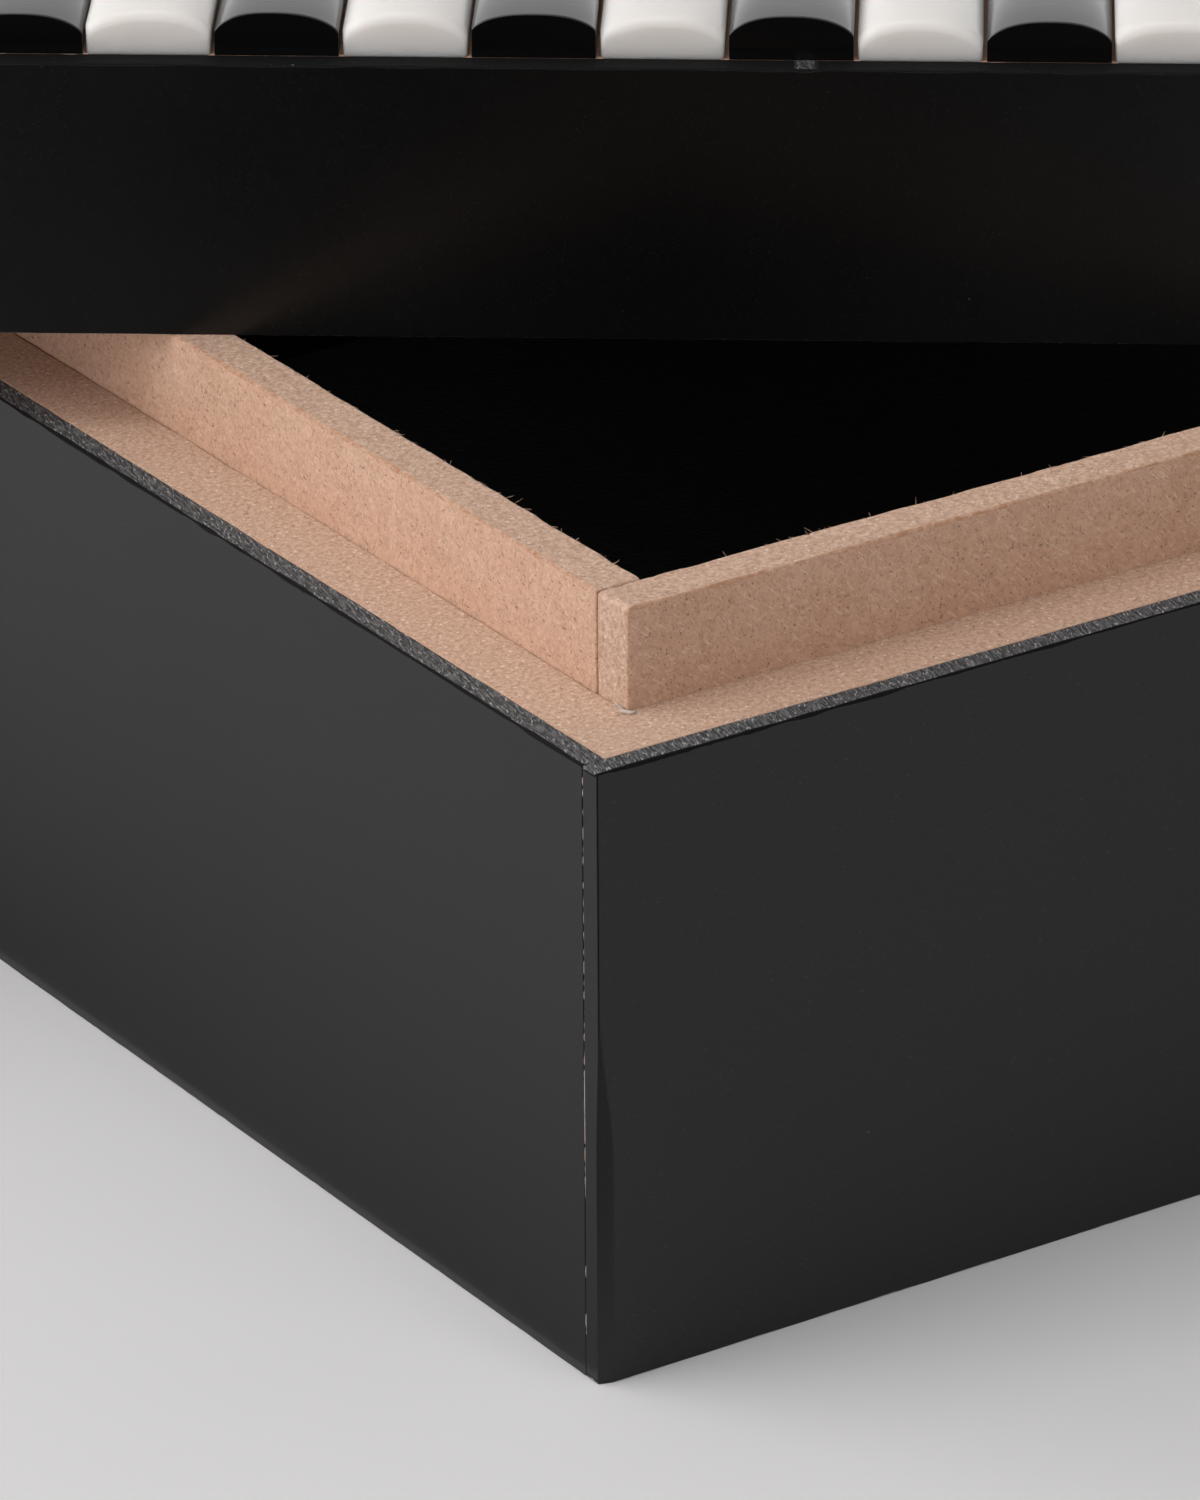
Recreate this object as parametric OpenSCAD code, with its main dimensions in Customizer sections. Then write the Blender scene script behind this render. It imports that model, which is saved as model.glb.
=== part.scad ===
// Keepsake box with a lift-off lid.
// Fibreboard carcass faced with thin black resin sheets. A raised fibreboard lip locates the lid,
// and the lid is topped with domed resin bars, laid side by side in black and white.
// The lid is drawn as it lies in use: lifted off its seat, turned, and set down across the lip.
// Millimetres. +Z is up, +X runs along the box, and the origin is the centre of the underside.

/* [Box] */
// Length of the box over the black sheets
box_l = 254; // [200:1:290]
// Width of the box over the black sheets
box_w = 178; // [140:1:240]
// Height of the base, from the table to the ledge that the lid sits on
base_h = 50.8; // [35:0.1:90]
// Height of the lid's side, from its rim to the foot of the bars
lid_h = 22.7; // [16:0.1:40]

/* [Boards and sheets] */
// Thickness of the black facing sheets
sheet_t = 2; // [1:0.1:3]
// Thickness of the base's four side boards
base_board_t = 6; // [5:0.1:9]
// Slack between the lid's inside and the lip, on each side, once the lid is on its seat
lid_fit = 0.5; // [0.2:0.05:1]
// Thickness of the bottom panel
base_panel_t = 6; // [4:0.5:9]
// Thickness of the lid's top panel
lid_panel_t = 6; // [4:0.5:6.5]

/* [Lip] */
// Thickness of the lip boards
lip_t = 4; // [3:0.1:6]
// Height of the lip above the ledge
lip_h = 8.3; // [5:0.1:12]
// Sanded arris along both top edges of the lip
lip_arris = 0.3; // [0.1:0.05:0.8]

/* [Bars] */
// Width that each bar is wanted to take up, before the bars are shared out along the lid
bar_pitch = 10; // [9.5:0.25:12]
// Gap between neighbouring bars at their widest
bar_gap = 0.1; // [0.05:0.05:0.5]
// Height of a bar at its crown
bar_h = 3.7; // [3.2:0.1:6]
// Radius of the low crown
bar_crown_r = 12; // [9:0.5:30]
// Width of the low crown, between the points where it runs into the shoulders
bar_crown_w = 5; // [4:0.1:7]
// Radius of the rounded shoulders
bar_shoulder_r = 5; // [4.5:0.1:7]
// Sanded arris across both ends of a bar
bar_arris = 0.4; // [0.1:0.05:1]

/* [Felt] */
// Thickness of the felt under the box
foot_felt_t = 1; // [0.5:0.1:3]
// Thickness of the felt pad on the floor of the box
floor_felt_t = 2; // [1:0.1:5]
// Thickness of the felt on the inner walls
wall_felt_t = 1; // [0.5:0.1:2]
// Distance from the top of the lip down to the wall felt
wall_felt_drop = 2; // [1:0.1:6]
// Thickness of the felt inside the lid
lid_felt_t = 1; // [0.5:0.1:2]

/* [Lid as it lies] */
// Turn of the lid from its seat, seen from above
lid_turn = -35.8; // [-50:0.1:-25]
// Place of the lid's centre along the box
lid_x = 4.7; // [-8:0.1:8]
// Place of the lid's centre across the box
lid_y = 3.5; // [-8:0.1:8]

/* [Hidden] */
$fn = 96;
SIDES = ["front", "back", "left", "right"];
MDF = [0.74, 0.58, 0.47];
BLACK = [0.10, 0.10, 0.10];
WHITE = [0.90, 0.88, 0.85];
FELT = [0.03, 0.03, 0.03];

// Faces shared by the sheets, the panels and the boards
core_l = box_l - 2 * sheet_t;
core_w = box_w - 2 * sheet_t;
lip_l = core_l - 2 * base_board_t;
lip_w = core_w - 2 * base_board_t;
well_l = lip_l - 2 * lip_t;
well_w = lip_w - 2 * lip_t;
lid_well_l = lip_l + 2 * lid_fit;
lid_well_w = lip_w + 2 * lid_fit;
lid_board_t = base_board_t - lid_fit;

// Levels in the base, from the table up
base_panel_z = foot_felt_t;
floor_z = base_panel_z + base_panel_t;
wall_felt_z = floor_z + floor_felt_t;
lip_top_z = base_h + lip_h;
wall_felt_h = lip_top_z - wall_felt_drop - wall_felt_z;

// Levels in the lid, from its rim up
lid_board_h = lid_h - lid_panel_t;
lid_felt_z = lid_board_h - lid_felt_t;

// Bars shared out evenly between the end sheets
bar_count = round(core_l / bar_pitch);
bar_step = core_l / bar_count;
bar_w = bar_step - bar_gap;

function bar_name(i) = str("bar_", i < 10 ? "0" : "", i);
function side_names(stem) = [for (side = SIDES) str(stem, side)];

// Section of a board standing on edge, with both top arrises sanded off by the same amount
module board_section(t, h, arris = 0) {
    if (arris > 0)
        polygon([[0, 0], [t, 0], [t, h - arris], [t - arris, h], [arris, h], [0, h - arris]]);
    else
        square([t, h]);
}

// One board of a glued frame whose outside measures l by w. The front and back boards run
// right through to the corners, and the left and right boards butt between them.
module frame_board(side, l, w, t, h, arris = 0) {
    turn = side == "front" ? 0 : side == "right" ? 90 : side == "back" ? 180 : 270;
    through = side == "front" || side == "back";
    run = through ? l : w - 2 * t;
    reach = through ? w / 2 : l / 2;
    rotate([0, 0, turn])
        translate([-run / 2, -reach, 0])
            rotate([90, 0, 90])
                linear_extrude(height = run)
                    board_section(t, h, arris);
}

// Flat panel centred on the box's axis
module panel(l, w, t) {
    translate([-l / 2, -w / 2, 0])
        cube([l, w, t]);
}

// Moves a piece drawn in the lid's own frame to where the lid lies across the lip
module lid_place() {
    translate([lid_x, lid_y, lip_top_z])
        rotate([0, 0, lid_turn])
            children();
}

// Section of a bar, standing on its flat foot and centred on x = 0. A low crown runs tangent
// into two rounder shoulders, which the upright sides cut off.
module bar_section() {
    crown_z = bar_h - bar_crown_r;
    reach = bar_crown_r - bar_shoulder_r;
    shoulder_x = bar_crown_w / 2 * reach / bar_crown_r;
    shoulder_z = crown_z + sqrt(reach * reach - shoulder_x * shoulder_x);
    intersection() {
        translate([-bar_w / 2, 0])
            square([bar_w, bar_h]);
        union() {
            intersection() {
                translate([0, crown_z])
                    circle(r = bar_crown_r);
                translate([-bar_crown_w / 2, 0])
                    square([bar_crown_w, bar_h]);
            }
            for (s = [-1, 1])
                translate([s * shoulder_x, shoulder_z])
                    circle(r = bar_shoulder_r);
        }
    }
}

// Side outline of a bar, with the arris across each end of its crown sanded off
module bar_outline(run) {
    polygon([
        [0, 0], [run, 0],
        [run, bar_h - bar_arris], [run - bar_arris, bar_h],
        [bar_arris, bar_h], [0, bar_h - bar_arris]
    ]);
}

module foot_felt() {
    color(FELT)
        panel(core_l, core_w, foot_felt_t);
}

module base_panel() {
    color(MDF)
        translate([0, 0, base_panel_z])
            panel(core_l, core_w, base_panel_t);
}

module floor_felt() {
    color(FELT)
        translate([0, 0, floor_z])
            panel(well_l, well_w, floor_felt_t);
}

module base_board(side) {
    color(MDF)
        translate([0, 0, floor_z])
            frame_board(side, core_l, core_w, base_board_t, base_h - floor_z);
}

module base_sheet(side) {
    color(BLACK)
        frame_board(side, box_l, box_w, sheet_t, base_h);
}

module lip_board(side) {
    color(MDF)
        translate([0, 0, floor_z])
            frame_board(side, lip_l, lip_w, lip_t, lip_top_z - floor_z, lip_arris);
}

module wall_felt(side) {
    color(FELT)
        translate([0, 0, wall_felt_z])
            frame_board(side, well_l, well_w, wall_felt_t, wall_felt_h);
}

module lid_panel() {
    color(MDF)
        lid_place()
            translate([0, 0, lid_board_h])
                panel(core_l, core_w, lid_panel_t);
}

module lid_felt() {
    color(FELT)
        lid_place()
            translate([0, 0, lid_felt_z])
                panel(lid_well_l, lid_well_w, lid_felt_t);
}

module lid_board(side) {
    color(MDF)
        lid_place()
            frame_board(side, core_l, core_w, lid_board_t, lid_board_h);
}

module lid_sheet(side) {
    color(BLACK)
        lid_place()
            frame_board(side, box_l, box_w, sheet_t, lid_h);
}

// Bar number i, counted from the left end of the lid. The odd ones are black.
module bar(i) {
    color(i % 2 == 1 ? BLACK : WHITE)
        lid_place()
            translate([(i - 0.5) * bar_step - core_l / 2, 0, lid_h])
                intersection() {
                    translate([0, core_w / 2, 0])
                        rotate([90, 0, 0])
                            linear_extrude(height = core_w)
                                bar_section();
                    translate([-bar_w / 2, -core_w / 2, 0])
                        rotate([90, 0, 90])
                            linear_extrude(height = bar_w)
                                bar_outline(core_w);
                }
}

foot_felt();
base_panel();
floor_felt();
lid_panel();
lid_felt();
for (side = SIDES) {
    base_board(side);
    base_sheet(side);
    lip_board(side);
    wall_felt(side);
    lid_board(side);
    lid_sheet(side);
}
for (i = [1:bar_count])
    bar(i);
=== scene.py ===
"""A lidded keepsake box of raw fibreboard, faced with thin black resin sheet and lined with black felt. Its
loose lid is topped by domed resin bars in black and milky white, and lies askew across the box's raised lip.

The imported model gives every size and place. Each board, sheet, bar and lining is worked out here as a
closed skin with sanded or sawn edges, and stands for the plain solid of the same name. Lengths are in
metres, except where a name or a docstring says mm.
"""

import math

import bpy
import numpy as np
from mathutils import Matrix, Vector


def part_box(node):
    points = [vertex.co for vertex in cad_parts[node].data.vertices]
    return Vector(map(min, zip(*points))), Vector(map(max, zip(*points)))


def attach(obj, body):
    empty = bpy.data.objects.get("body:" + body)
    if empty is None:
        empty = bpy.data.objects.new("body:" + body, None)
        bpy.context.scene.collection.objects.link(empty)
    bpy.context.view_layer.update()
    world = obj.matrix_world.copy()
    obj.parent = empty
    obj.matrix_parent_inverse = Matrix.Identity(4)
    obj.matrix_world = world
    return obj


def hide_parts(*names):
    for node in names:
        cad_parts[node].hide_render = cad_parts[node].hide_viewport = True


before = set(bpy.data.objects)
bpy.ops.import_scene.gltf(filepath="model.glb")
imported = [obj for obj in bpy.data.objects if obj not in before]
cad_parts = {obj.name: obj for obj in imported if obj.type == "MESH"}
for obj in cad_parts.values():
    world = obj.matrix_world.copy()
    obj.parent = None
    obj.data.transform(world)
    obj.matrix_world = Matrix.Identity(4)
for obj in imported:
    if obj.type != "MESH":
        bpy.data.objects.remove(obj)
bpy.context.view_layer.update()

MM = 0.001
SIDES = ("front", "back", "left", "right")


# The two bodies' own axes

def vertices(node):
    """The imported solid's corner points, one row each."""
    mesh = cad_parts[node].data
    points = np.empty(len(mesh.vertices) * 3)
    mesh.vertices.foreach_get("co", points)
    return points.reshape(-1, 3)


def body_axes(panel):
    """Centre and turn of a body, from the flat rectangular panel in it: the longest line between two of its
    corners is a diagonal, the longest that falls short of that is a long edge, and the turn is this edge's
    direction, brought to within a quarter turn of the X axis."""
    points = vertices(panel)
    centre = (points.min(axis=0) + points.max(axis=0)) / 2
    corners = np.unique(np.round(points[:, :2] - centre[:2], 7), axis=0)
    edges = corners[:, None, :] - corners[None, :, :]
    lengths = np.hypot(edges[..., 0], edges[..., 1])
    under_diagonal = np.where(lengths < 0.999 * lengths.max(), lengths, 0)
    long_edge = edges.reshape(-1, 2)[np.argmax(under_diagonal)]
    turn = math.atan2(long_edge[1], long_edge[0])
    turn = (turn + math.pi / 2) % math.pi - math.pi / 2
    return centre[0], centre[1], turn


BODY_AXES = {"box": body_axes("base_panel"), "lid": body_axes("lid_panel")}


def to_body(points, body):
    """Points in the shared frame, seen in the body's own axes."""
    x, y, turn = BODY_AXES[body]
    c, s = math.cos(turn), math.sin(turn)
    dx, dy = points[..., 0] - x, points[..., 1] - y
    return np.stack([c * dx + s * dy, -s * dx + c * dy, points[..., 2]], axis=-1)


def from_body(points, body):
    """Points in the body's own axes, put back in the shared frame."""
    x, y, turn = BODY_AXES[body]
    c, s = math.cos(turn), math.sin(turn)
    px, py = points[..., 0], points[..., 1]
    return np.stack([x + c * px - s * py, y + s * px + c * py, points[..., 2]], axis=-1)


def extent(node, body):
    """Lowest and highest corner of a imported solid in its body's own axes."""
    points = to_body(vertices(node), body)
    return points.min(axis=0), points.max(axis=0)


# Shapes: skins carried along a run

WANDER_VALUES = 4096


def wander(at, spacing, seed):
    """Smooth random height along a line, from -1 to 1: one random value at every spacing, eased between
    neighbours by 3f^2 - 2f^3, where f is how far the point lies from one to the next."""
    values = np.random.default_rng(seed).uniform(-1, 1, WANDER_VALUES)
    place = np.asarray(at) / spacing + WANDER_VALUES // 2
    cell = np.floor(place).astype(int)
    f = place - cell
    ease = f * f * (3 - 2 * f)
    return values[cell % WANDER_VALUES] * (1 - ease) + values[(cell + 1) % WANDER_VALUES] * ease


def skin(rings):
    """Points and faces of a closed skin through rings of shape (rings, points, 3), each ring turning
    anticlockwise as seen from its end of the run. Flat caps close the two ends."""
    count, around = rings.shape[:2]
    ring, point = np.meshgrid(np.arange(count - 1), np.arange(around), indexing="ij")
    following = (point + 1) % around
    quads = np.stack([
        ring * around + point,
        ring * around + following,
        (ring + 1) * around + following,
        (ring + 1) * around + point,
    ], axis=-1).reshape(-1, 4)
    first = list(range(around))[::-1]
    last = [(count - 1) * around + i for i in range(around)]
    return rings.reshape(-1, 3), quads.tolist() + [first, last]


def add_piece(name, points, faces, material, shares=None, attribute="sawn"):
    """A mesh object at the origin. Where shares are given, each point carries one, from 0 to 1, as the named
    attribute: as a rule how far the surface there is sawn, not faced."""
    mesh = bpy.data.meshes.new(name)
    mesh.from_pydata(points.tolist(), [], faces)
    if shares is not None:
        layer = mesh.attributes.new(attribute, "FLOAT", "POINT")
        layer.data.foreach_set("value", np.asarray(shares, dtype=np.float32).ravel())
    mesh.materials.append(material)
    mesh.update()
    piece = bpy.data.objects.new(name, mesh)
    bpy.context.scene.collection.objects.link(piece)
    return piece


QUARTER_TURN = math.pi / 2
ARC_STEPS = 4
FINE_STEP = 0.1 * MM


def stations(start, end, arris, step, fine=0.0):
    """Places along a run and how far the section draws in there: a quarter circle of radius arris rounds
    each end, and between them the places lie step apart, or a fine step apart in the first part of the run,
    fine long."""
    angle = np.linspace(0, QUARTER_TURN, ARC_STEPS + 1)
    lead = arris * (1 - np.cos(angle))
    inset = arris * (1 - np.sin(angle))
    close = np.arange(start + arris + FINE_STEP, start + fine, FINE_STEP)
    begin = close[-1] if len(close) else start + arris
    count = max(2, int(round((end - arris - begin) / step)))
    middle = np.concatenate([close, np.linspace(begin, end - arris, count + 1)[1:-1]])
    place = np.concatenate([start + lead, middle, end - lead[::-1]])
    drawn = np.concatenate([inset, np.zeros(len(middle)), inset[::-1]])
    return place, drawn


# The sides of a section are numbered from 0, inner, top, outer and bottom, and each corner comes before the
# side of its number: a board's outer top corner is the one between its top and its outer side.
TOP, BOTTOM = 1, 3
OUTER_TOP = 2


def sections(low, high, drawn, radii, rows):
    """Rings of a rectangle with round corners, one for each station. low and high are its (across, up)
    corners, drawn moves every side in by that much, radii[c] is corner c's radius at each station, and
    rows[c] is the count of points on the straight side that follows corner c. Corners turn anticlockwise
    from (high across, low up). Returns the rings as (stations, points, 2), the side on which each point
    lies, with each round shared by two, and the corner within whose round it lies, or -1."""
    sign = np.array([[1, -1], [1, 1], [-1, 1], [-1, -1]])
    outer = np.where(sign[:, None, :] > 0, high, low) - sign[:, None, :] * drawn[None, :, None]
    centre = outer - sign[:, None, :] * radii[:, :, None]
    rings, on_side, on_arc = [], [], []
    for corner in range(4):
        angle = QUARTER_TURN * (corner - 1 + np.arange(ARC_STEPS + 1) / ARC_STEPS)
        spoke = np.stack([np.cos(angle), np.sin(angle)], axis=-1)
        arc = centre[corner][:, None, :] + radii[corner][:, None, None] * spoke[None]
        rings.append(arc)
        on_side += [(corner - 1) % 4] * (ARC_STEPS // 2) + [corner] * (ARC_STEPS - ARC_STEPS // 2 + 1)
        on_arc += [-1] + [corner] * (ARC_STEPS - 1) + [-1]
        if rows[corner]:
            following = (corner + 1) % 4
            spoke = np.array([math.cos(QUARTER_TURN * corner), math.sin(QUARTER_TURN * corner)])
            begin = arc[:, -1, :]
            finish = centre[following] + radii[following][:, None] * spoke
            share = (np.arange(rows[corner]) + 1) / (rows[corner] + 1)
            rings.append(begin[:, None, :] + (finish - begin)[:, None, :] * share[None, :, None])
            on_side += [corner] * rows[corner]
            on_arc += [-1] * rows[corner]
    return np.concatenate(rings, axis=1), np.array(on_side), np.array(on_arc)


SIDE_TURN = {"front": 0, "right": 90, "back": 180, "left": 270}


def turned(points, degrees):
    """Points turned anticlockwise about the vertical axis."""
    c, s = math.cos(math.radians(degrees)), math.sin(math.radians(degrees))
    x, y = points[..., 0], points[..., 1]
    return np.stack([c * x - s * y, s * x + c * y, points[..., 2]], axis=-1)


ARRIS_WAVE_MM = 2.3
CHIP_WAVE_MM = 0.7
CHIP_THRESHOLD = 0.35
CHIP_GROUP_MM = 5


def arris_radii(place, radius, chip, seed):
    """Each corner's radius along a run. It wanders by half, and swells where chips broke out: a chip is the
    part of a short random wave that stands above a threshold, where a longer wave lets it."""
    radii = np.empty((4, len(place)))
    for corner in range(4):
        key = seed * 16 + corner
        wave = wander(place, ARRIS_WAVE_MM * MM, key)
        burst = np.clip(wander(place, CHIP_WAVE_MM * MM, key + 7) - CHIP_THRESHOLD, 0, None)
        broken = burst * np.clip(wander(place, CHIP_GROUP_MM * MM, key + 3), 0, 1)
        radii[corner] = radius[corner] * (1 + 0.5 * wave) + chip * MM * broken
    return radii


# How far a worn place counts as sawn: enough to be matt, and short of showing the cut colour.
WORN = 0.35
RUB_WAVE_MM = 3
RUB_THRESHOLD = 0.8
RUB_STEEPNESS = 9
RUB_MOST = 0.32
END_FACE_IN_MM = 0.02


def board(node, body, material, side="front", arris=0.12, chip=0.0, step=0.5, seed=0, rows=(0, 0, 0, 0),
          ease=None, fine=0.0, gap=0.0, end_arris=None, sawn_ends=1.0, worn=False, scuffed=False):
    """A board in place of a packed one: its run is the length of the named side of the box, with the
    outside at low across. Every arris is a small round of wandering radius, and the rounded rectangle is
    carried along the run. Top, bottom and ends are sawn, and the broad faces aren't. Lengths are in mm.
    arris is one radius, or one for each corner, gap is cut off both ends, and ease is a last change of the
    rings' shape. A worn board's outer top arris is worn matt. A scuffed one's top is too, and is rubbed pale
    here and there."""
    turn = SIDE_TURN[side]
    points = turned(to_body(vertices(node), body), -turn)
    low, high = points.min(axis=0), points.max(axis=0)
    radius = np.broadcast_to(np.asarray(arris, dtype=float) * MM, 4)
    end_radius = radius.min() if end_arris is None else end_arris * MM
    place, drawn = stations(low[0] + gap * MM, high[0] - gap * MM, end_radius, step * MM, fine * MM)
    radii = arris_radii(place, radius, chip, seed)
    rings, on_side, on_arc = sections(low[1:], high[1:], drawn, radii, rows)
    along = np.broadcast_to(place[:, None, None], rings.shape[:2] + (1,))
    rings = np.concatenate([along, rings], axis=-1)
    if ease is not None:
        rings = ease(rings, low, high)
    # The end rings are doubled, so that the end faces are sawn right up to their arris.
    rings = np.concatenate([rings[:1], rings, rings[-1:]])
    middle = (low + high) / 2
    draw_in = 1 - END_FACE_IN_MM * MM / (high - low).min()
    for end in (0, -1):
        rings[end, :, 1:] = middle[1:] + (rings[end, :, 1:] - middle[1:]) * draw_in
    sawn = np.tile(np.isin(on_side, (TOP, BOTTOM)).astype(float), (len(rings), 1))
    if scuffed:
        rub = wander(place, RUB_WAVE_MM * MM, seed * 16 + 9) - RUB_THRESHOLD
        rubbed = np.clip(rub * RUB_STEEPNESS, 0, 1) * RUB_MOST
        sawn[1:-1, on_side == TOP] = WORN + rubbed[:, None]
    if worn:
        sawn[:, on_arc == OUTER_TOP] = WORN
    sawn[[0, -1]] = sawn_ends
    points, faces = skin(rings)
    piece = add_piece(f"{node}_made", from_body(turned(points, turn), body), faces, material, sawn)
    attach(piece, body)
    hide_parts(node)


SANDED_FROM_MM = 33.0
SANDED_FULL_MM = 18.0
SANDED_WIDTH = 1.3 * MM
SANDED_DEPTH = 0.42 * MM


def sand_corner(rings, low, high):
    """The near upright corner was sanded by hand: below a height, a narrow facet cuts it off. Its width
    grows as the smooth step s * s * (3 - 2s) of the way down from one height to the other, and its depth
    along with it."""
    share = (SANDED_FROM_MM * MM - rings[..., 2]) / ((SANDED_FROM_MM - SANDED_FULL_MM) * MM)
    share = np.clip(share, 0, 1)
    share = share * share * (3 - 2 * share)
    cut = np.clip(1 - (rings[..., 0] - low[0]) / (SANDED_WIDTH * np.maximum(share, 0.01)), 0, 1)
    eased = rings.copy()
    eased[..., 1] = np.maximum(rings[..., 1], low[1] + SANDED_DEPTH * share * cut)
    return eased


RUBBED_END_REACH = 0.7 * MM
RUBBED_END_HEIGHT = 1.0 * MM
RUBBED_END_DROP = 0.45 * MM


def round_lip_end(rings, low, high):
    """The lip's near end was rubbed round at the top: the height falls away towards it as a quarter circle,
    over a short reach of the run, and about three times as far on the outside as on the inside."""
    near = np.clip(1 - (rings[..., 0] - low[0]) / RUBBED_END_REACH, 0, 1)
    out = np.clip((high[1] - rings[..., 1]) / (high[1] - low[1]), 0, 1)
    top = np.clip((rings[..., 2] - high[2] + RUBBED_END_HEIGHT) / RUBBED_END_HEIGHT, 0, 1)
    eased = rings.copy()
    eased[..., 2] -= RUBBED_END_DROP * (1 - np.sqrt(1 - near ** 2)) * (0.35 + 0.65 * out) * top
    return eased


def bead(path, radius, around=6, flat=1.0):
    """A closed skin of oval rings along a path of points: each ring lies square to the path's level course,
    radius wide and flat times as high."""
    course = np.gradient(path, axis=0)
    course /= np.linalg.norm(course, axis=1)[:, None]
    aside = np.cross(course, [0, 0, 1.0])
    level = np.linalg.norm(aside, axis=1) > 0.3
    aside = np.where(level[:, None], aside, np.cross(course, [0, 1.0, 0]))
    aside /= np.linalg.norm(aside, axis=1)[:, None]
    over = np.cross(course, aside)
    angle = np.arange(around) * 2 * math.pi / around
    wide = aside[:, None, :] * np.cos(angle)[None, :, None]
    high = flat * over[:, None, :] * np.sin(angle)[None, :, None]
    return skin(path[:, None, :] + radius[:, None, None] * (wide + high))


def detail(name, body, skins, material):
    """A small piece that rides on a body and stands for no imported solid, made of several skins. All of it
    counts as sawn."""
    points, faces, count = [], [], 0
    for some_points, some_faces in skins:
        points.append(some_points)
        faces += [[count + i for i in face] for face in some_faces]
        count += len(some_points)
    piece = add_piece(name, from_body(np.concatenate(points), body), faces, material, np.ones(count))
    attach(piece, body)


BAR_POINTS = 28
CROWN_ACROSS_POWER = 0.8
CROWN_UP_POWER = 1.45


def domed_bar(node, material, seed, end_round):
    """A hand-finished bar: its section is a flat foot, two upright sides and a crown, which is the
    superellipse across = sin(a) to the power 0.8, with its sign kept, and up = cos(a) to the power 1.45. It
    is carried along the bar while its width and height wander a little, and it leans to one side. Quarter
    rounds soften both ends."""
    low, high = extent(node, "lid")
    rng = np.random.default_rng(seed)
    place, drawn = stations(low[1], high[1], end_round, 6 * MM)
    angle = np.linspace(-QUARTER_TURN, QUARTER_TURN, BAR_POINTS)
    across = np.sign(np.sin(angle)) * np.abs(np.sin(angle)) ** CROWN_ACROSS_POWER
    up = np.clip(np.cos(angle), 0, 1) ** CROWN_UP_POWER
    narrower = (0.03 + 0.10 * rng.uniform() + 0.04 * wander(place, 60 * MM, seed + 50)) * MM
    rise = (1.55 + 0.25 * rng.uniform(-1, 1) + 0.08 * wander(place, 45 * MM, seed + 90)) * MM
    top = high[2] - 0.45 * MM * rng.uniform() - drawn
    lean = rng.uniform(-0.12, 0.12)
    middle = (low[0] + high[0]) / 2
    width = (high[0] - low[0]) / 2 - narrower - 0.3 * drawn
    crown_x = middle + width[:, None] * (across + lean * up * (1 - across ** 2))[None]
    crown_z = top[:, None] - rise[:, None] * (1 - up)[None]
    foot_x = np.stack([middle - width, middle + width], axis=-1)
    foot_z = np.full_like(foot_x, low[2])
    section_x = np.concatenate([foot_x, crown_x[:, ::-1]], axis=1)
    section_z = np.concatenate([foot_z, crown_z[:, ::-1]], axis=1)
    along = np.broadcast_to(place[:, None], section_x.shape)
    points, faces = skin(np.stack([section_x, along, section_z], axis=-1)[::-1])
    piece = add_piece(f"{node}_made", from_body(points, "lid"), faces, material)
    smooth = np.arange(len(faces)) < len(faces) - 2
    piece.data.polygons.foreach_set("use_smooth", smooth)
    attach(piece, "lid")
    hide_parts(node)


# Materials

def linear(hexadecimal):
    """An sRGB hex colour as linear red, green, blue and alpha."""
    shares = [int(hexadecimal[i:i + 2], 16) / 255 for i in (1, 3, 5)]
    return tuple(c / 12.92 if c <= 0.04045 else ((c + 0.055) / 1.055) ** 2.4 for c in shares) + (1.0,)


def per_mm(size):
    """A texture's scale, in cycles to the metre, at which one cycle is size mm long."""
    return 1 / (size * MM)


def start_material(name, **shader):
    """A material with one Principled shader set to the given socket values, its node tree and that shader."""
    material = bpy.data.materials.new(name)
    material.use_nodes = True
    tree = material.node_tree
    principled = tree.nodes["Principled BSDF"]
    for socket, value in shader.items():
        principled.inputs[socket.replace("_", " ")].default_value = value
    return material, tree, principled


def add(tree, kind, inputs=None, **settings):
    """Adds a node with its settings, and sets or links its inputs: a socket is linked, and anything else is
    set."""
    node = tree.nodes.new(kind)
    for key, value in settings.items():
        setattr(node, key, value)
    for key, value in (inputs or {}).items():
        if isinstance(value, bpy.types.NodeSocket):
            tree.links.new(value, node.inputs[key])
        else:
            node.inputs[key].default_value = value
    return node


def strands(tree, place, length, width, turn, low, high, amount):
    """A share from 0 to amount where fine strands lie: noise drawn out to the given length and width in mm
    along a turned axis, kept where it rises from low to high."""
    stretch = (length * MM, width * MM, width * MM)
    drawn_out = add(tree, "ShaderNodeMapping", {"Vector": place, "Rotation": turn, "Scale": stretch},
                    vector_type="TEXTURE")
    noise = add(tree, "ShaderNodeTexNoise", {"Vector": drawn_out.outputs[0], "Scale": 1.0, "Detail": 1.0})
    kept = add(tree, "ShaderNodeMapRange", {0: noise.outputs["Fac"], 1: low, 2: high, 3: 0.0, 4: amount})
    return kept.outputs[0]


def layered(tree, colour, layers):
    """A colour with others laid over it one after another, each by its share. Each is a hex value or a
    socket."""
    for share, above in layers:
        pair = [linear(c) if isinstance(c, str) else c for c in (colour, above)]
        mix = add(tree, "ShaderNodeMix", {0: share, 6: pair[0], 7: pair[1]}, data_type="RGBA")
        colour = mix.outputs[2]
    return colour


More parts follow.
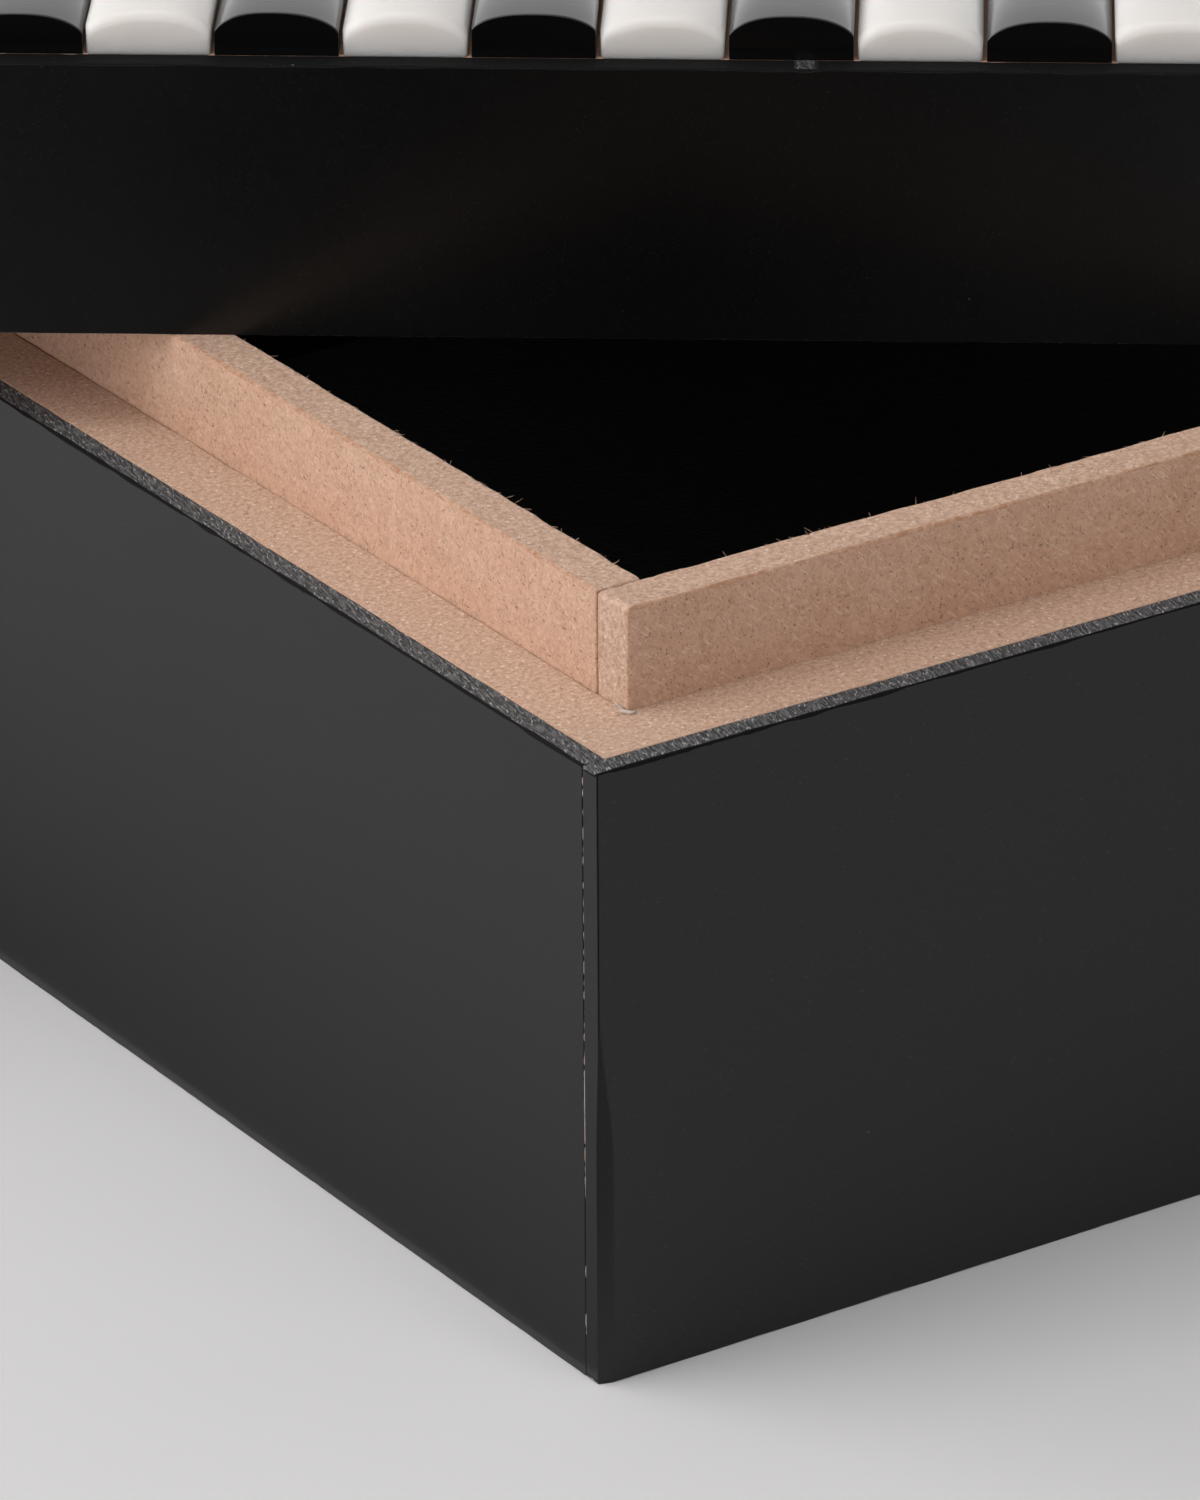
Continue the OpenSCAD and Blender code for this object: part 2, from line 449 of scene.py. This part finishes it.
# The fibres in a fibreboard's face, as length and width in mm, turn, the noise at which they start to show,
# how far they show, and colour: two kinds of pale ones and two of dark.
FACE_FIBRES = (
    (2.2, 0.20, (0.4, 0.7, 0.2), 0.60, 0.5, "#e0c4ae"),
    (1.7, 0.17, (1.3, -0.5, 2.0), 0.60, 0.5, "#dfc0a8"),
    (1.5, 0.16, (-0.6, 1.2, 0.9), 0.63, 0.5, "#7c5b47"),
    (1.1, 0.20, (0.9, 0.3, -1.2), 0.67, 0.7, "#553c2f"),
)


def fibreboard():
    """Raw medium-density fibreboard. Its faces are pressed and lightly sanded: smooth and warm, with pale
    and dark fibres that lie every way and small specks of bark. Its sawn edges are open, sandy and rougher,
    and a worn arris is torn, with ragged orange-brown patches."""
    material, tree, shader = start_material("Raw fibreboard, sawn and sanded", Roughness=0.9, IOR=1.4)
    place = add(tree, "ShaderNodeTexCoord").outputs["Object"]
    sawn = add(tree, "ShaderNodeAttribute", attribute_name="sawn").outputs["Fac"]
    cloud = add(tree, "ShaderNodeTexNoise",
                {"Vector": place, "Scale": per_mm(6), "Detail": 4.0, "Roughness": 0.6}).outputs["Fac"]
    grain = add(tree, "ShaderNodeTexNoise",
                {"Vector": place, "Scale": per_mm(0.42), "Detail": 3.0, "Roughness": 0.8}).outputs["Fac"]
    fibre = add(tree, "ShaderNodeTexNoise",
                {"Vector": place, "Scale": per_mm(1.1), "Detail": 6.0, "Roughness": 0.7,
                 "Distortion": 1.6}).outputs["Fac"]
    dots = add(tree, "ShaderNodeTexVoronoi", {"Vector": place, "Scale": per_mm(0.62), "Randomness": 1.0})
    grits = add(tree, "ShaderNodeTexVoronoi", {"Vector": place, "Scale": per_mm(0.8), "Randomness": 1.0})

    mottle = add(tree, "ShaderNodeMapRange", {0: fibre, 1: 0.38, 2: 0.60, 3: 0.32, 4: 0.0})
    crowd = add(tree, "ShaderNodeMapRange", {0: cloud, 1: 0.40, 2: 0.58, 3: 0.19, 4: 0.05})
    speck = add(tree, "ShaderNodeMath", {0: dots.outputs["Distance"], 1: crowd.outputs[0]},
                operation="LESS_THAN")
    faint = add(tree, "ShaderNodeMath", {0: speck.outputs[0], 1: 0.42}, operation="MULTIPLY")
    fibres = [
        (strands(tree, place, length, width, turn, low, 0.74, amount), colour)
        for length, width, turn, low, amount, colour in FACE_FIBRES
    ]
    face = layered(tree, "#c2967c", [
        (cloud, "#d2ae97"), (mottle.outputs[0], "#94705a"), *fibres, (faint.outputs[0], "#5d4436"),
    ])

    tooth = add(tree, "ShaderNodeMapRange", {0: grain, 1: 0.32, 2: 0.68})
    bright = add(tree, "ShaderNodeMapRange",
                 {0: grits.outputs["Distance"], 1: 0.20, 2: 0.12, 3: 0.0, 4: 0.55})
    dark_ends = strands(tree, place, 0.9, 0.18, (0.1, 0.2, 0.7), 0.66, 0.74, 0.5)
    edge = layered(tree, "#a5816b", [
        (tooth.outputs[0], "#d2b39e"), (bright.outputs[0], "#ecd6c6"), (dark_ends, "#6b4f40"),
    ])

    rising = add(tree, "ShaderNodeMapRange", {0: sawn, 1: 0.0, 2: WORN})
    falling = add(tree, "ShaderNodeMapRange", {0: sawn, 1: WORN, 2: 1.0, 3: 1.0, 4: 0.0})
    torn = add(tree, "ShaderNodeMath", {0: rising.outputs[0], 1: falling.outputs[0]}, operation="MULTIPLY")
    ragged = add(tree, "ShaderNodeMapRange", {0: fibre, 1: 0.42, 2: 0.58, 3: 0.1, 4: 0.75})
    torn = add(tree, "ShaderNodeMath", {0: torn.outputs[0], 1: ragged.outputs[0]}, operation="MULTIPLY")
    colour = layered(tree, face, [(sawn, edge), (torn.outputs[0], "#9a6a48")])
    relief = add(tree, "ShaderNodeMix", {0: sawn, 2: fibre, 3: grain})
    bump = add(tree, "ShaderNodeBump", {"Height": relief.outputs[0], "Strength": 0.6, "Distance": 0.2 * MM})
    tree.links.new(colour, shader.inputs["Base Color"])
    tree.links.new(bump.outputs[0], shader.inputs["Normal"])
    return material


def black_sheet():
    """Cast black resin sheet with a satin face, cut on a table saw. The face mirrors the pale table as an
    even grey, with faint rubbing marks and a little dust; the sawn edge is bleached, rough and scored
    aslant by the teeth, and a worn arris is matt and darker than the face."""
    material, tree, shader = start_material("Cast black resin sheet, satin", IOR=1.45)
    place = add(tree, "ShaderNodeTexCoord").outputs["Object"]
    sawn = add(tree, "ShaderNodeAttribute", attribute_name="sawn").outputs["Fac"]
    patch = add(tree, "ShaderNodeTexNoise",
                {"Vector": place, "Scale": per_mm(2.5), "Detail": 4.0, "Roughness": 0.7})
    frost = add(tree, "ShaderNodeTexNoise",
                {"Vector": place, "Scale": per_mm(0.4), "Detail": 2.0, "Roughness": 0.8})
    scores = strands(tree, place, 1.4, 0.20, (0, 0, math.radians(78)), 0.42, 0.62, 0.9)
    bright = strands(tree, place, 0.7, 0.20, (0, 0, math.radians(64)), 0.60, 0.70, 0.7)
    frosted = add(tree, "ShaderNodeMapRange", {0: frost.outputs["Fac"], 1: 0.52, 2: 0.7, 3: 0.0, 4: 0.4})
    cut = layered(tree, "#1f1f20", [
        (patch.outputs["Fac"], "#434345"), (scores, "#636263"), (frosted.outputs[0], "#8a8888"),
        (bright, "#aba8a6"),
    ])

    dust = add(tree, "ShaderNodeTexVoronoi", {"Vector": place, "Scale": per_mm(7), "Randomness": 1.0})
    speck = add(tree, "ShaderNodeMapRange",
                {0: dust.outputs["Distance"], 1: 0.020, 2: 0.010, 3: 0.0, 4: 0.22})
    rubbing = strands(tree, place, 5, 0.12, (0.1, 0.2, 0.3), 0.68, 0.76, 0.10)
    face = layered(tree, "#030303", [(speck.outputs[0], "#8b8480"), (rubbing, "#8b8480")])

    # Below 0.3 the surface goes from satin to matt, and from 0.45 on the sawn colours show.
    matted = add(tree, "ShaderNodeMapRange", {0: sawn, 1: 0.0, 2: 0.3})
    opened = add(tree, "ShaderNodeMapRange", {0: sawn, 1: 0.45, 2: 0.9})
    colour = layered(tree, face, [(opened.outputs[0], cut)])
    shine = add(tree, "ShaderNodeMapRange", {0: matted.outputs[0], 3: 0.5, 4: 0.15})
    smear = add(tree, "ShaderNodeTexNoise", {"Vector": place, "Scale": per_mm(35), "Detail": 4.0})
    gloss = add(tree, "ShaderNodeMapRange", {0: smear.outputs["Fac"], 1: 0.3, 2: 0.7, 3: 0.28, 4: 0.34})
    brushed = strands(tree, place, 40, 0.5, (0, 0, 0), 0.4, 0.7, 0.02)
    wiped = add(tree, "ShaderNodeMath", {0: gloss.outputs[0], 1: brushed}, operation="ADD")
    rough = add(tree, "ShaderNodeMix", {0: matted.outputs[0], 2: wiped.outputs[0], 3: 0.8})
    height = add(tree, "ShaderNodeMath", {0: scores, 1: opened.outputs[0]}, operation="MULTIPLY")
    bump = add(tree, "ShaderNodeBump", {"Height": height.outputs[0], "Strength": 0.7, "Distance": 0.1 * MM})
    tree.links.new(colour, shader.inputs["Base Color"])
    tree.links.new(rough.outputs[0], shader.inputs["Roughness"])
    tree.links.new(shine.outputs[0], shader.inputs["Specular IOR Level"])
    tree.links.new(bump.outputs[0], shader.inputs["Normal"])
    return material


def dried_glue():
    """Wood glue squeezed out of a joint and left to dry: milky, half glossy, and browner in patches."""
    material, tree, shader = start_material("Dried wood glue", Roughness=0.35, IOR=1.47,
                                            Subsurface_Weight=0.4, Subsurface_Scale=0.4 * MM)
    place = add(tree, "ShaderNodeTexCoord").outputs["Object"]
    cloud = add(tree, "ShaderNodeTexNoise", {"Vector": place, "Scale": per_mm(0.8), "Detail": 3.0})
    colour = layered(tree, "#8f7a6d", [(cloud.outputs["Fac"], "#cdbfb6")])
    tree.links.new(colour, shader.inputs["Base Color"])
    return material


def bar_resin(name, darker, paler, **sockets):
    """Cast resin rod, polished by hand: glossy, with the faint ripple that a buff leaves."""
    material, tree, shader = start_material(name, IOR=1.5, **sockets)
    place = add(tree, "ShaderNodeTexCoord").outputs["Object"]
    cloud = add(tree, "ShaderNodeTexNoise", {"Vector": place, "Scale": per_mm(25), "Detail": 2.0})
    colour = layered(tree, darker, [(cloud.outputs["Fac"], paler)])
    ripple = add(tree, "ShaderNodeTexNoise", {"Vector": place, "Scale": per_mm(4), "Detail": 1.0})
    bump = add(tree, "ShaderNodeBump",
               {"Height": ripple.outputs["Fac"], "Strength": 0.15, "Distance": 0.1 * MM})
    tree.links.new(colour, shader.inputs["Base Color"])
    tree.links.new(bump.outputs[0], shader.inputs["Normal"])
    return material


def felt():
    """Black craft felt, needled from wool and viscose: matt, with a short tangled nap that catches a little
    light."""
    material, tree, shader = start_material("Needled black felt", Roughness=1.0, Sheen_Weight=0.15,
                                            Sheen_Roughness=0.5)
    place = add(tree, "ShaderNodeTexCoord").outputs["Object"]
    nap = add(tree, "ShaderNodeTexNoise",
              {"Vector": place, "Scale": per_mm(1.2), "Detail": 5.0, "Distortion": 2.0})
    colour = layered(tree, "#060505", [(nap.outputs["Fac"], "#151313")])
    bump = add(tree, "ShaderNodeBump", {"Height": nap.outputs["Fac"], "Strength": 0.8, "Distance": 0.3 * MM})
    tree.links.new(colour, shader.inputs["Base Color"])
    tree.links.new(bump.outputs[0], shader.inputs["Normal"])
    return material


FIBREBOARD = fibreboard()
BLACK_SHEET = black_sheet()
BLACK_BAR = bar_resin("Polished black resin", "#050505", "#090909", Roughness=0.2)
# Milky: light goes in, scatters for a few millimetres and comes out, which softens the bars' ends and sides.
WHITE_BAR = bar_resin("Polished milky resin", "#cdc7c3", "#d6d2ce", Roughness=0.26, Specular_IOR_Level=0.35,
                      Subsurface_Weight=1.0, Subsurface_Scale=3.0 * MM, Subsurface_Radius=(1.0, 0.92, 0.88))
GLUE = dried_glue()
FELT = felt()


# The box and the lid

for number, side in enumerate(SIDES):
    near = side == "front"
    board(f"base_board_{side}", "box", FIBREBOARD, side, seed=10 + number, rows=(0, 1, 0, 0),
          arris=(0.1, 0.06 if near else 0.25, 0.12, 0.1), end_arris=0.02)
    board(f"base_sheet_{side}", "box", BLACK_SHEET, side, seed=20 + number, rows=(0, 1, 30, 0),
          arris=(0.08, 0.1, 0.24, 0.1), end_arris=0.14 if near else 0.1, chip=0.3, worn=True, sawn_ends=0,
          ease=sand_corner if near else None, fine=1.6 if near else 0.0)
    board(f"lip_board_{side}", "box", FIBREBOARD, side, seed=30 + number, rows=(0, 3, 3, 0),
          arris=(0.2, 0.24, 0.28, 0.2), chip=0.5, worn=True, gap=0.14 if side in ("left", "right") else 0.0,
          ease=round_lip_end if near else None, step=0.3, fine=1.0)
    board(f"wall_felt_{side}", "box", FELT, side, seed=40 + number, arris=0.35, step=2)
    board(f"lid_board_{side}", "lid", FIBREBOARD, side, seed=50 + number, rows=(0, 0, 0, 1))
    board(f"lid_sheet_{side}", "lid", BLACK_SHEET, side, seed=60 + number, rows=(0, 1, 0, 0),
          arris=(0.1, 0.02, 0.14, 0.1), end_arris=0.1, chip=0.2, worn=True, scuffed=True, sawn_ends=0)
board("floor_felt", "box", FELT, arris=0.6, step=2)
board("foot_felt", "box", FELT, arris=0.3, step=2)
board("lid_felt", "lid", FELT, arris=0.3, step=2)
for panel_node in ("base_panel", "lid_panel"):
    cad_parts[panel_node].data.materials.clear()
    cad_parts[panel_node].data.materials.append(FIBREBOARD)


# Glue and loose fibres

def glue_line(at_x, at_y, low_z, high_z, shown, seed):
    """Glue in an upright seam: a thin bead along the height whose half width wanders, and which sinks into
    the seam where shown, a function of the depth under the top in mm, falls to 0."""
    z = np.arange(low_z + 0.3 * MM, high_z - 0.2 * MM, 0.12 * MM)
    there = np.clip(shown((high_z - z) / MM) + 0.35 * wander(z, 0.5 * MM, seed), 0, 1)
    half = (0.03 + 0.055 * there * (0.6 + 0.4 * wander(z, 0.35 * MM, seed + 1))) * MM
    sunk = (0.005 + 0.25 * (1 - there)) * MM
    inward = -np.sign(at_x)
    x = at_x + inward * (half + sunk)
    y = at_y + 0.03 * MM * wander(z, 1.5 * MM, seed + 2)
    return bead(np.stack([x, y, z], axis=-1), half)


NEAR_GLUE_DEPTH_MM = (0.6, 1.0, 14, 30, 35.4, 36.2, 41.0, 41.4, 42.3, 42.8, 45.0, 45.6, 47.2, 47.6)
NEAR_GLUE_SHOWN = (0.0, 0.9, 0.8, 1.0, 0.9, 0.1, 0.1, 0.9, 0.9, 0.1, 0.1, 0.8, 0.8, 0.0)


def near_glue(depth):
    """How far the near seam's glue shows, by the depth under the top in mm: nearly all the way down, and
    then in two short bits."""
    return np.interp(depth, NEAR_GLUE_DEPTH_MM, NEAR_GLUE_SHOWN)


def other_glue(depth):
    """How far the other seams' glue shows: here and there."""
    return 0.45 + 0.5 * np.sin(depth / 5.1)


for body, prefix in (("box", "base"), ("lid", "lid")):
    through_low, through_high = extent(f"{prefix}_sheet_front", body)
    behind_low = extent(f"{prefix}_sheet_back", body)[0]
    beads = []
    for at_x in (through_low[0], through_high[0]):
        for at_y in (through_high[1], behind_low[1]):
            near = body == "box" and at_x < 0 and at_y < 0
            shown = near_glue if near else other_glue
            beads.append(glue_line(at_x, at_y, through_low[2], through_high[2], shown, 900 + 7 * len(beads)))
    detail(f"{prefix}_seam_glue", body, beads, GLUE)

# A string of glue lies on the ledge round the lip's near corner, with a thread of it pulled up over it.
lip_low = extent("lip_board_front", "box")[0]
ledge_z = extent("base_board_front", "box")[1][2]
share = np.linspace(0, 1, 40)
string_path = np.stack([
    lip_low[0] + (-0.25 + 0.15 * np.sin(share * 9) + 2.2 * np.clip(share - 0.6, 0, 1) ** 1.3) * MM,
    lip_low[1] + (1.3 - 1.75 * np.clip(share / 0.75, 0, 1) ** 1.2 + 0.10 * np.sin(share * 14)) * MM,
    np.full(len(share), ledge_z + 0.06 * MM),
], axis=-1)
string_radius = (0.06 + 0.24 * np.sin(math.pi * share) ** 0.7 * (0.75 + 0.25 * wander(share, 0.11, 77))) * MM
thread_path = string_path + np.stack([
    -0.35 * MM * np.sin(math.pi * share),
    -0.20 * MM * np.sin(2.2 * share),
    0.16 * MM * np.sin(math.pi * share),
], axis=-1)
thread_radius = np.full(len(share), 0.045 * MM)
detail("lip_glue", "box", [bead(string_path, string_radius, 10, 0.8), bead(thread_path, thread_radius)], GLUE)


def loose_fibre(start, toward, length, radius, curl):
    """A hair of fibre: a thin bead from start along a direction, which sags and curls as a parabola."""
    along = np.linspace(0, 1, 5)[:, None]
    path = start + along * length * toward + along ** 2 * length * curl
    return bead(path, radius * (1 - 0.6 * along[:, 0]), 3)


INNER_FIBRES_TO_MM = 2.2
OUTER_FIBRES_TO_MM = 0.8
LONGEST_FIBRE = 0.55 * MM


def lip_fibres():
    """Fibres torn up by the saw, which stand out over the lip's inner and outer top edges."""
    rng = np.random.default_rng(5)
    hairs = []
    for side in SIDES:
        points = turned(to_body(vertices(f"lip_board_{side}"), "box"), -SIDE_TURN[side])
        low, high = points.min(axis=0), points.max(axis=0)
        for edge_y, outward, crowd in (
            (high[1] - 0.12 * MM, 1.0, INNER_FIBRES_TO_MM),
            (low[1] + 0.12 * MM, -1.0, OUTER_FIBRES_TO_MM),
        ):
            for _ in range(int((high[0] - low[0]) / MM * crowd)):
                root_x = rng.uniform(low[0] + 1 * MM, high[0] - 1 * MM)
                start = np.array([root_x, edge_y, high[2] - 0.10 * MM])
                lean = rng.normal(0, 0.8)
                toward = np.array([lean, outward * rng.uniform(0.1, 1.0), rng.uniform(-0.5, 0.35)])
                toward /= np.linalg.norm(toward)
                curl = rng.normal(0, 0.3, 3) - np.array([0, 0, 0.2])
                length = min(rng.gamma(2.0, 0.17) * MM, LONGEST_FIBRE)
                points, faces = loose_fibre(start, toward, length, rng.uniform(0.016, 0.032) * MM, curl)
                hairs.append((turned(points, SIDE_TURN[side]), faces))
    return hairs


detail("lip_loose_fibres", "box", lip_fibres(), FIBREBOARD)


# The lid's bars, alternately black with crisp ends and white with ends rubbed round

BLACK_END_ROUND = 0.12 * MM
WHITE_END_ROUND = 0.9 * MM
bar_nodes = sorted(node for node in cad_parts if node.startswith("bar_"))
for number, node in enumerate(bar_nodes):
    if number % 2:
        domed_bar(node, WHITE_BAR, 100 + number, WHITE_END_ROUND)
    else:
        domed_bar(node, BLACK_BAR, 100 + number, BLACK_END_ROUND)


# Camera: the photograph's, found from the box's own edges

CAMERA_AZIMUTH = math.radians(-33.428)
CAMERA_ELEVATION = math.radians(24.802)
CAMERA_ROLL = math.radians(-0.345)
CAMERA_LENS_MM = 249.74
SENSOR_MM = 36.0
# The box's near top corner, as it lies from the camera: to the right, up and away
CORNER_SEEN = (-0.218 * MM, -1.791 * MM, 761.513 * MM)

sheet_low, sheet_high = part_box("base_sheet_front")
near_corner = np.array([sheet_low[0], sheet_low[1], sheet_high[2]])
forward = np.array([
    -math.sin(CAMERA_AZIMUTH) * math.cos(CAMERA_ELEVATION),
    math.cos(CAMERA_AZIMUTH) * math.cos(CAMERA_ELEVATION),
    -math.sin(CAMERA_ELEVATION),
])
level = np.array([math.cos(CAMERA_AZIMUTH), math.sin(CAMERA_AZIMUTH), 0.0])
upright = np.cross(level, forward)
right = math.cos(CAMERA_ROLL) * level + math.sin(CAMERA_ROLL) * upright
up = math.cos(CAMERA_ROLL) * upright - math.sin(CAMERA_ROLL) * level
eye = near_corner - (CORNER_SEEN[0] * right + CORNER_SEEN[1] * up + CORNER_SEEN[2] * forward)


def stand(data, x_axis, y_axis, z_axis, place):
    """A camera or lamp put at a place with the given axes. It looks or shines along its own -Z."""
    pose = np.eye(4)
    pose[:3, 0], pose[:3, 1], pose[:3, 2], pose[:3, 3] = x_axis, y_axis, z_axis, place
    holder = bpy.data.objects.new(data.name, data)
    holder.matrix_world = Matrix(pose.tolist())
    bpy.context.scene.collection.objects.link(holder)
    return holder


camera_data = bpy.data.cameras.new("camera")
camera_data.lens = CAMERA_LENS_MM
camera_data.sensor_width = SENSOR_MM
camera_data.clip_start = 0.01
camera_data.clip_end = 20
bpy.context.scene.camera = stand(camera_data, right, up, -forward, eye)


# Floor and light

FLOOR_HALF = 4.0


def floor_material():
    """Matt white laminate table top, seen under soft light as a pale grey, with faint drifts of tone."""
    material, tree, shader = start_material("Matt white laminate", Roughness=0.6, IOR=1.45)
    place = add(tree, "ShaderNodeTexCoord").outputs["Object"]
    drift = add(tree, "ShaderNodeTexNoise", {"Vector": place, "Scale": per_mm(60), "Detail": 3.0})
    colour = layered(tree, "#d2d0d1", [(drift.outputs["Fac"], "#d8d6d7")])
    tree.links.new(colour, shader.inputs["Base Color"])
    return material


floor_points = np.array([[-1, -1, 0], [1, -1, 0], [1, 1, 0], [-1, 1, 0]]) * FLOOR_HALF
floor_points[:, 2] = -0.02 * MM
floor = add_piece("floor", floor_points, [[0, 1, 2, 3]], floor_material())

LAMP_DISTANCE = 1.4
LAMP_SIZE = 0.9


def softbox(name, toward, power):
    """A square area lamp that faces the box from the direction toward."""
    lamp = bpy.data.lights.new(name, "AREA")
    lamp.shape = "SQUARE"
    lamp.size = LAMP_SIZE
    lamp.energy = power
    direction = np.array(toward) / np.linalg.norm(toward)
    x_axis = np.cross([0, 0, 1], direction)
    x_axis /= np.linalg.norm(x_axis)
    return stand(lamp, x_axis, np.cross(direction, x_axis), direction, direction * LAMP_DISTANCE)


CARD_BLACK = "#050505"
CARD_GREY = "#808080"


def mirrored_card(name, strip, colour, glow, cover):
    """A strip of cards that only mirrors show, painted into reflections: dark, it is painted shade, and with
    a glow, painted light. Rays of gloss that meet its face see it, as far as it covers, and every other ray
    passes.
    strip is the points of its cross lines, and cover how far each line's end is covered."""
    material, tree, shader = start_material(f"Matt card, {name}", Roughness=1.0, Specular_IOR_Level=0.0,
                                            Base_Color=linear(colour), Emission_Color=(1, 1, 1, 1),
                                            Emission_Strength=glow)
    side_seen = add(tree, "ShaderNodeNewGeometry")
    covered = add(tree, "ShaderNodeAttribute", attribute_name="cover")
    front = add(tree, "ShaderNodeMath", {0: 1.0, 1: side_seen.outputs["Backfacing"]}, operation="SUBTRACT")
    opaque = add(tree, "ShaderNodeMath", {0: front.outputs[0], 1: covered.outputs["Fac"]},
                 operation="MULTIPLY")
    clear = add(tree, "ShaderNodeBsdfTransparent")
    face = add(tree, "ShaderNodeMixShader", {0: opaque.outputs[0], 1: clear.outputs[0], 2: shader.outputs[0]})
    tree.links.new(face.outputs[0], tree.nodes["Material Output"].inputs["Surface"])
    faces = [[2 * i, 2 * i + 1, 2 * i + 3, 2 * i + 2] for i in range(len(strip) // 2 - 1)]
    card = add_piece(name, np.array(strip, dtype=float), faces, material, np.repeat(cover, 2), "cover")
    for ray in ("camera", "diffuse", "transmission", "volume_scatter", "shadow"):
        setattr(card, f"visible_{ray}", False)


# A black card that only reflections see, from a little before the box's near corner on, a painted reflection
# of shade:
# it darkens the lid's face and that corner where they mirror it.
DARK_REACH = 2.5
CARD_HEIGHT = 0.3 * MM
dark_x, dark_y = near_corner[0] - 3 * MM, near_corner[1] - 3 * MM
mirrored_card("dark_reflection_card", [
    (x, y, CARD_HEIGHT) for y in (dark_y - DARK_REACH, dark_y) for x in (dark_x - DARK_REACH, dark_x)
], CARD_BLACK, 0.0, (1, 1))

# The box's own shade on the table to its left, which its left face mirrors. It fades away from the box.
SHADE_LENGTH = 0.497
shade_x = near_corner[0] - MM * np.array((0.5, 12, 45, 500))
mirrored_card("shade_beside_box", [
    (x, y, CARD_HEIGHT) for x in shade_x for y in (near_corner[1], near_corner[1] + SHADE_LENGTH)
], CARD_BLACK, 0.0, (0.52, 0.42, 0.21, 0.16))

# Glowing grey cards behind the box that only reflections see, a painted reflection of light: brightest low
# down, which paints pale highlight bands on the bars' shoulders, and plain above, which paints the grey of
# the black bars' crowns.
GLOW_CARD_AWAY = 1.3
GLOW_CARD_HALF = 1.1
back_middle = GLOW_CARD_AWAY * np.array([forward[0], forward[1], 0]) / math.hypot(forward[0], forward[1])
for card_name, foot, top, glow in (("glow_card_low", 0.0, 0.42, 1.75), ("glow_card_high", 0.42, 1.3, 1.35)):
    mirrored_card(card_name, [
        back_middle + end * GLOW_CARD_HALF * level + np.array([0, 0, z])
        for z in (foot, top) for end in (-1, 1)
    ], CARD_GREY, glow, (1, 1))

softbox("window_left", (-1.0, 0.0, 0.45), 8.6)
softbox("window_back", (-1.0, 0.8, 0.8), 6.6)
softbox("overhead", (-0.3, 0.0, 1.0), 6.2)
fill = softbox("fill_front", (0.1, -1.0, 0.5), 4.3)
fill.visible_glossy = False

# The room: dim where it lights the box, white where the camera sees it, and nearly white in mirrors.
ROOM_LIGHT = 0.25
ROOM_SEEN = 1.0
ROOM_MIRRORED = 0.85
world = bpy.data.worlds.new("studio")
bpy.context.scene.world = world
world.use_nodes = True
room = world.node_tree
sky = room.nodes["Background"]
rays = add(room, "ShaderNodeLightPath")
mirrored = add(room, "ShaderNodeMath",
               {0: rays.outputs["Is Glossy Ray"], 1: rays.outputs["Is Transmission Ray"]},
               operation="MAXIMUM")
seen = add(room, "ShaderNodeMapRange", {0: rays.outputs["Is Camera Ray"], 3: ROOM_LIGHT, 4: ROOM_SEEN})
strength = add(room, "ShaderNodeMix", {0: mirrored.outputs[0], 2: seen.outputs[0], 3: ROOM_MIRRORED})
room.links.new(strength.outputs[0], sky.inputs["Strength"])
sky.inputs["Color"].default_value = (1, 1, 1, 1)

bpy.context.scene.view_settings.view_transform = "Standard"
